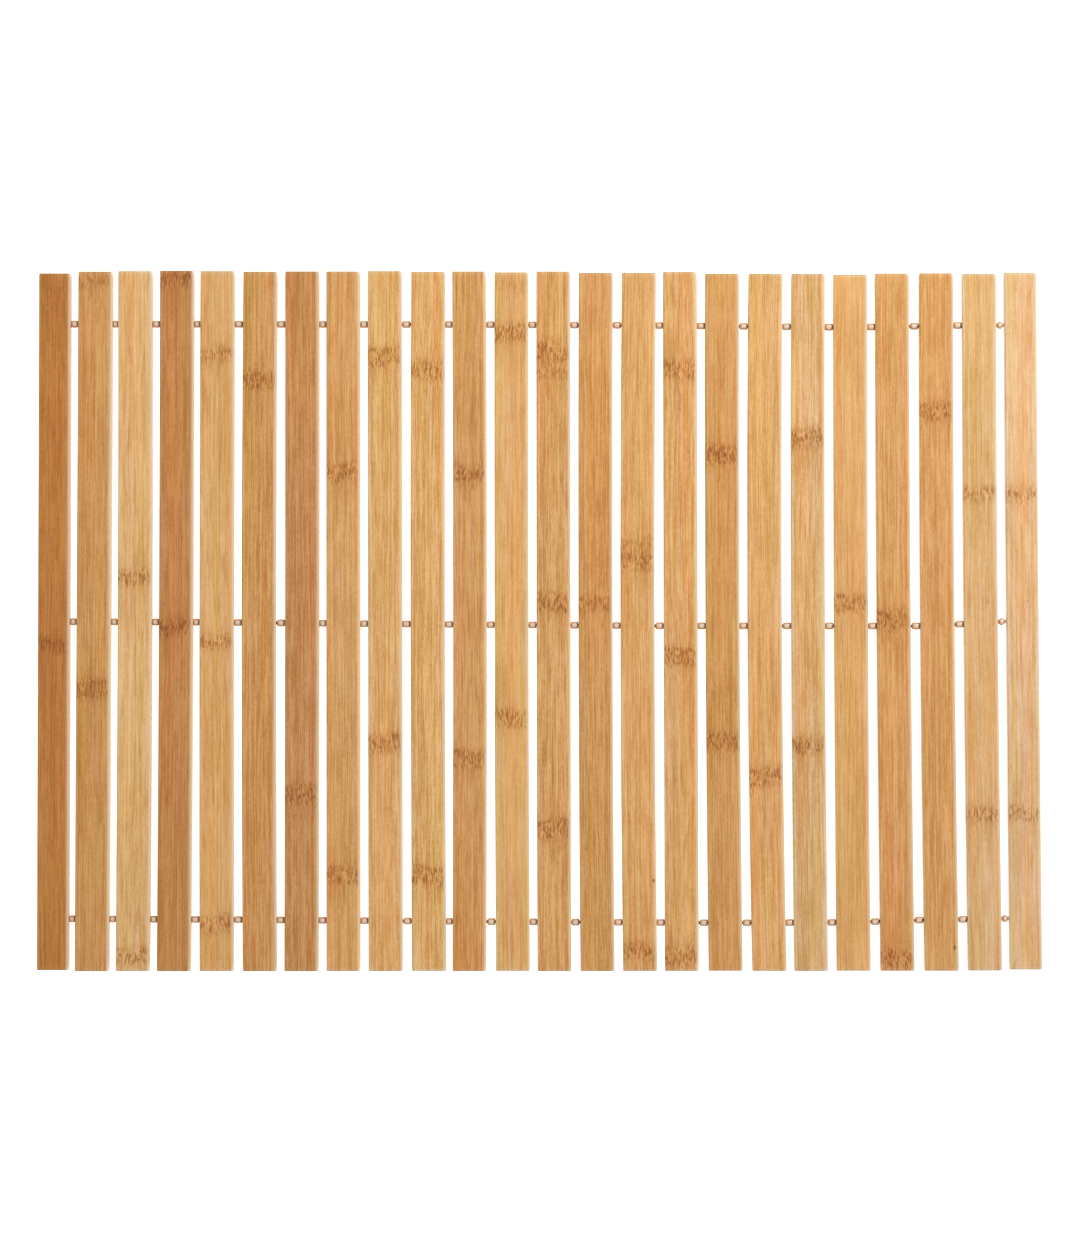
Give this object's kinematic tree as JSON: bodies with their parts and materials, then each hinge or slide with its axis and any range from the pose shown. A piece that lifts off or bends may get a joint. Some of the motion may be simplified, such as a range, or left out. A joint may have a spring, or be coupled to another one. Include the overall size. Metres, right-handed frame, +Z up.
{
  "type": "bamboo duckboard mat",
  "caption": "Flat mat of parallel bamboo slats strung on cords, with a small round bead in each gap as a spacer.",
  "frame": {"origin": "middle of the mat's underside, on the surface that it lies on", "axes": "+X along the cords, towards the right of the picture; +Y along the slats, towards the top of the picture; +Z up"},
  "size_m": [0.6006, 0.4184, 0.008],
  "materials": {
    "bamboo": "satin",
    "bead": "satin",
    "cord": "matte"
  },
  "bodies": {
    "root": {"slat_01": "bamboo", "slat_02": "bamboo", "slat_03": "bamboo", "slat_04": "bamboo", "slat_05": "bamboo", "slat_06": "bamboo", "slat_07": "bamboo", "slat_08": "bamboo", "slat_09": "bamboo", "slat_10": "bamboo", "slat_11": "bamboo", "slat_12": "bamboo", "slat_13": "bamboo", "slat_14": "bamboo", "slat_15": "bamboo", "slat_16": "bamboo", "slat_17": "bamboo", "slat_18": "bamboo", "slat_19": "bamboo", "slat_20": "bamboo", "slat_21": "bamboo", "slat_22": "bamboo", "slat_23": "bamboo", "slat_24": "bamboo", "string_top": "bead", "string_middle": "bead", "string_bottom": "bead"}
  },
  "joints": []
}
